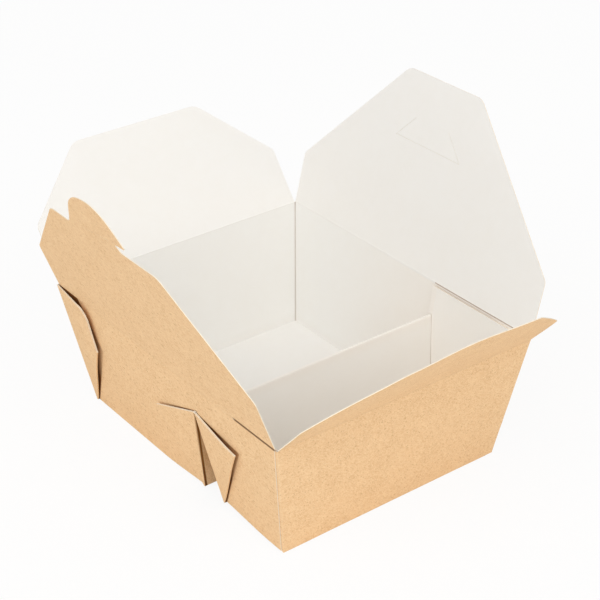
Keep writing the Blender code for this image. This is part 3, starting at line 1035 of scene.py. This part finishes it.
def addBead(mesh, values, toWorld):
    # the rolled crease that the flap turns on, kraft outside and white inside
    shape = bmesh.new()
    shape.from_mesh(mesh)
    foldLayer = shape.verts.layers.float.get("foldDistance")
    cutLayer = shape.verts.layers.float.get("cutDistance")
    sides, radius = bead["sides"], bead["radius"]
    slots = {material: mesh.materials.find(material.name) for material in (kraft, white, edge)}
    low, high = values["beadEnds"]
    count = int((high - low) / board["gridStep"])
    rings = []
    for step in range(count + 1):
        ring = []
        for side in range(sides):
            angle = 2 * math.pi * (side + 0.5) / sides
            along = low + (high - low) * step / count
            local = Vector((along, radius * math.cos(angle), radius * math.sin(angle)))
            point = shape.verts.new(toWorld @ local)
            point[foldLayer] = bead["foldDistance"]
            point[cutLayer] = board["farAway"]
            ring.append(point)
        rings.append(ring)
    for first, second in zip(rings, rings[1:]):
        for side in range(sides):
            after = (side + 1) % sides
            face = shape.faces.new((first[side], first[after], second[after], second[side]))
            height = math.sin(2 * math.pi * (side + 1) / sides)
            face.material_index = slots[white if height * values["insideSign"] > 0 else kraft]
    for ring in (rings[0][::-1], rings[-1]):
        shape.faces.new(ring).material_index = slots[edge]
    bmesh.ops.recalc_face_normals(shape, faces=shape.faces)
    shape.to_mesh(mesh)
    shape.free()


def makeFlap(name, body, values, corners, *holes):
    loops = [roundedOutline(corners), *holes]
    shape = flapSheet(loops)
    raw = []
    for loop in loops:
        for first, second in zip(loop, loop[1:] + loop[:1]):
            if max(abs(first[1]), abs(second[1])) > board["same"]:
                raw.append(((*first, 0.0), (*second, 0.0)))
    foldGaps = [abs(point.co.y) for point in shape.verts]
    cutGaps = [distanceTo(np.array(point.co), raw) for point in shape.verts]
    if "curl" in values:
        for point in shape.verts:
            rolled = math.cos(point.co.x / values["topHalfWidth"] * math.pi / 2) ** 2
            point.co.z -= values["curl"] * ease(*values["curlReach"], point.co.y) * rolled
    if values["insideSign"] < 0:
        bmesh.ops.reverse_faces(shape, faces=shape.faces)
    turned = Matrix.Rotation(values["turn"], 4, "Z") @ Matrix.Rotation(values["tilt"], 4, "X")
    toWorld = Matrix.Translation(values["place"]) @ turned
    bmesh.ops.transform(shape, matrix=toWorld, verts=shape.verts)
    shape.normal_update()
    mesh = boardFromSheet(name, shape, foldGaps, cutGaps, lambda face: 0)
    addBead(mesh, values, toWorld)
    finishPiece(name, mesh, body)


rim = {
    "halfWidth": tray["baseWidth"] / 2 + tray["widthFlare"],
    "halfLength": tray["baseLength"] / 2 + tray["lengthFlare"],
    "endFlapMargin": 0.0007,
    "sideFlapMargin": 0.0004,
}
upright = math.pi / 2

bead = {
    "radius": 0.0003,
    "sides": 12,
    "foldDistance": 0.0004,
}

endFlap = {
    "halfWidth": rim["halfWidth"] - rim["endFlapMargin"],
    "shoulderRounding": 0.004,
    "topHalfWidth": 0.0347,
    "rounding": 0.008,
    "turn": 0.0,
}
endFlap["beadEnds"] = (-endFlap["halfWidth"], endFlap["halfWidth"])

backFlap = {
    **endFlap,
    "shoulder": 0.0289,
    "length": 0.0622,
    "place": Vector((0, endY(tray["endCrease"]), tray["endCrease"])),
    "tilt": upright - math.radians(37),
    "insideSign": 1,
}

frontFlap = {
    **endFlap,
    "shoulder": 0.0226,
    "length": 0.0560,
    "place": Vector((0, -endY(tray["endCrease"]), tray["endCrease"])),
    "tilt": upright + math.radians(43),
    "insideSign": -1,
    "curl": 0.0012,
    "curlReach": (0.01, 0.054),
}

sideFlap = {
    "halfWidth": rim["halfLength"] - rim["sideFlapMargin"],
    "shoulder": 0.026,
    "shoulderRounding": 0.004,
    "rounding": 0.007,
    "turn": upright,
}

leftFlap = {
    **sideFlap,
    "topHalfWidth": 0.043,
    "length": 0.070,
    "backDrop": 0.0035,
    "backShoulder": 0.0238,
    "place": Vector((-sideX(tray["sideCrease"]), 0, tray["sideCrease"])),
    "tilt": upright - math.radians(19),
    "insideSign": 1,
    "neckBack": 0.0265,
    "neckFront": 0.0135,
    "headBack": 0.0125,
    "headFront": 0.0115,
    "headHeight": 0.0215,
    "headBackShare": 0.86,
    "barbReach": 0.0092,
    "barbHeight": 0.0042,
    "notch": 0.0034,
    "neckRounding": 0.004,
    "headBackRounding": 0.025,
    "headFrontRounding": 0.016,
    "tipRounding": 0.0007,
    "beadEnds": (tray["slitEnds"][0], sideFlap["halfWidth"]),
}

rightFlap = {
    **sideFlap,
    "topHalfWidth": 0.0245,
    "slitSpare": 0.0022,
    "slitFromTip": 0.011,
    "slitToTop": 0.0322,
    "slitEndHeight": 0.0113,
    "slitEndSlant": 0.0108,
    "slitOffset": 0.002,
    "slitCut": 0.00008,
    "place": Vector((sideX(tray["sideCrease"]), 0, tray["sideCrease"])),
    "tilt": upright + math.radians(15),
    "insideSign": -1,
    "beadEnds": (-sideFlap["halfWidth"], sideFlap["halfWidth"]),
}
rightFlap["slitHeight"] = 2 * rim["halfWidth"] - leftFlap["length"] - rightFlap["slitFromTip"]
rightFlap["length"] = rightFlap["slitHeight"] + rightFlap["slitToTop"]


def leftCorners():
    # the left flap's outline, with the lock tab on its top edge
    flap = leftFlap
    up, tip, front = flap["length"], flap["tipRounding"], -flap["neckFront"]
    head = flap["headHeight"]
    corners = hexagon(flap)
    corners[1] = (flap["halfWidth"], flap["backShoulder"], flap["shoulderRounding"])
    corners[2] = (flap["topHalfWidth"], up - flap["backDrop"], flap["rounding"])
    corners[3:3] = [
        (flap["neckBack"], up - flap["backDrop"], flap["neckRounding"]),
        (flap["headBack"], up + head * flap["headBackShare"], flap["headBackRounding"]),
        (-flap["headFront"], up + head, flap["headFrontRounding"]),
        (front - flap["barbReach"], up + flap["barbHeight"], tip),
        (front, up + flap["notch"], tip),
        (front - flap["notch"], up, tip),
    ]
    return corners


def lockSlit():
    # the right flap's slit for the tab, a narrow cut with slanted ends
    low, cut = rightFlap["slitHeight"], rightFlap["slitCut"]
    high = low + rightFlap["slitEndHeight"]
    outer = (leftFlap["neckBack"] + leftFlap["neckFront"]) / 2 + rightFlap["slitSpare"]
    inner = outer - rightFlap["slitEndSlant"]
    slant = math.atan2(rightFlap["slitEndHeight"], rightFlap["slitEndSlant"])
    upper = [(inner, high), (outer, low)]
    lower = [(outer - cut / math.tan(slant / 2), low + cut), (inner - cut / math.sin(slant), high)]
    loop = upper + [(-a, u) for a, u in reversed(upper)] + [(-a, u) for a, u in reversed(lower)] + lower
    return [(along + rightFlap["slitOffset"], up) for along, up in loop]


makeFlap("backFlapBoard", "back_flap", backFlap, hexagon(backFlap))
makeFlap("frontFlapBoard", "front_flap", frontFlap, hexagon(frontFlap))
makeFlap("leftFlapBoard", "left_flap", leftFlap, leftCorners())
makeFlap("rightFlapBoard", "right_flap", rightFlap, hexagon(rightFlap), lockSlit())


# floor, lights and camera

studio = {
    "floorSize": 6.0,
    "floorDrop": 0.0001,
    "floorColour": (0.93, 0.93, 0.93, 1),
    "floorRoughness": 0.9,
    "floorSpecular": 0.1,
    "floorGlow": 0.9,
    "worldColour": (1.0, 0.99, 0.975, 1),
    "worldStrength": 0.642,
    "lampColour": (1.0, 0.995, 0.985),
    "lampAim": Vector((0, 0, 0.05)),
    "lamps": (
        {"name": "keyLight", "place": Vector((-1.3, -0.5, 1.5)), "size": 1.6, "power": 12.3},
        {"name": "frontLight", "place": Vector((-0.2, -1.5, 1.5)), "size": 1.4, "power": 6.6},
        {"name": "lowLight", "place": Vector((0.5, -1.9, 0.7)), "size": 1.4, "power": 3.4},
    ),
}


def seenWhite(tree, kind, share, shader):
    # plain white by this share where the camera sees it, and this shader for all other light
    path = addNode(tree, "ShaderNodeLightPath").outputs
    some = mathNode(tree, "ADD", path["Is Camera Ray"], path["Is Glossy Ray"])
    seen = mathNode(tree, "ADD", some, path["Is Transmission Ray"], clamp=True)
    plain = addNode(tree, kind, {"Color": (1, 1, 1, 1), "Strength": 1.0})
    inputs = {0: product(tree, seen, share), 1: shader, 2: plain.outputs[0]}
    return addNode(tree, "ShaderNodeMixShader", inputs).outputs[0]


def makeStudio():
    scene = bpy.context.scene
    scene.view_settings.view_transform = "Standard"
    scene.world = bpy.data.worlds.new("studioWorld")
    scene.world.use_nodes = True
    tree = scene.world.node_tree
    tree.nodes.clear()
    inputs = {"Color": studio["worldColour"], "Strength": studio["worldStrength"]}
    light = addNode(tree, "ShaderNodeBackground", inputs).outputs[0]
    addNode(tree, "ShaderNodeOutputWorld", {0: seenWhite(tree, "ShaderNodeBackground", 1.0, light)})

    shape = bmesh.new()
    bmesh.ops.create_grid(shape, x_segments=1, y_segments=1, size=studio["floorSize"] / 2)
    mesh = bpy.data.meshes.new("studioFloor")
    shape.to_mesh(mesh)
    shape.free()
    floor = placed("studioFloor", mesh)
    floor.location.z = -studio["floorDrop"]
    material = bpy.data.materials.new("paleFloor")
    material.use_nodes = True
    tree = material.node_tree
    shader = feed(tree, tree.nodes["Principled BSDF"], {
        "Base Color": studio["floorColour"],
        "Roughness": studio["floorRoughness"],
        "Specular IOR Level": studio["floorSpecular"],
    })
    glowing = seenWhite(tree, "ShaderNodeEmission", studio["floorGlow"], shader.outputs[0])
    feed(tree, tree.nodes["Material Output"], {0: glowing})
    floor.data.materials.append(material)

    for values in studio["lamps"]:
        lamp = bpy.data.lights.new(values["name"], "AREA")
        lamp.shape = "DISK"
        lamp.size = values["size"]
        lamp.energy = values["power"]
        lamp.color = studio["lampColour"]
        holder = placed(values["name"], lamp)
        holder.location = values["place"]
        aim = studio["lampAim"] - values["place"]
        holder.rotation_euler = aim.to_track_quat("-Z", "Y").to_euler()


view = {
    "azimuth": math.radians(-36.15),
    "elevation": math.radians(29.84),
    "roll": math.radians(-1.19),
    "distance": 0.7964,
    "lookAt": Vector((0.04066, 0.04556, 0.03225)),
    "lens": 97.08,
    "sensor": 36.0,
    "clips": (0.01, 20.0),
}


def makeCamera():
    azimuth, elevation, roll = view["azimuth"], view["elevation"], view["roll"]
    back = Vector((
        math.sin(azimuth) * math.cos(elevation),
        -math.cos(azimuth) * math.cos(elevation),
        math.sin(elevation),
    ))
    right = Vector((0, 0, 1)).cross(back).normalized()
    up = back.cross(right)
    turnedRight = right * math.cos(roll) + up * math.sin(roll)
    turnedUp = up * math.cos(roll) - right * math.sin(roll)
    data = bpy.data.cameras.new("productCamera")
    data.sensor_width = view["sensor"]
    data.lens = view["lens"]
    data.clip_start, data.clip_end = view["clips"]
    camera = placed("productCamera", data)
    turn = Matrix((turnedRight, turnedUp, back)).transposed().to_4x4()
    camera.matrix_world = Matrix.Translation(view["lookAt"] + back * view["distance"]) @ turn
    bpy.context.scene.camera = camera


makeStudio()
makeCamera()
print("studio and camera made")
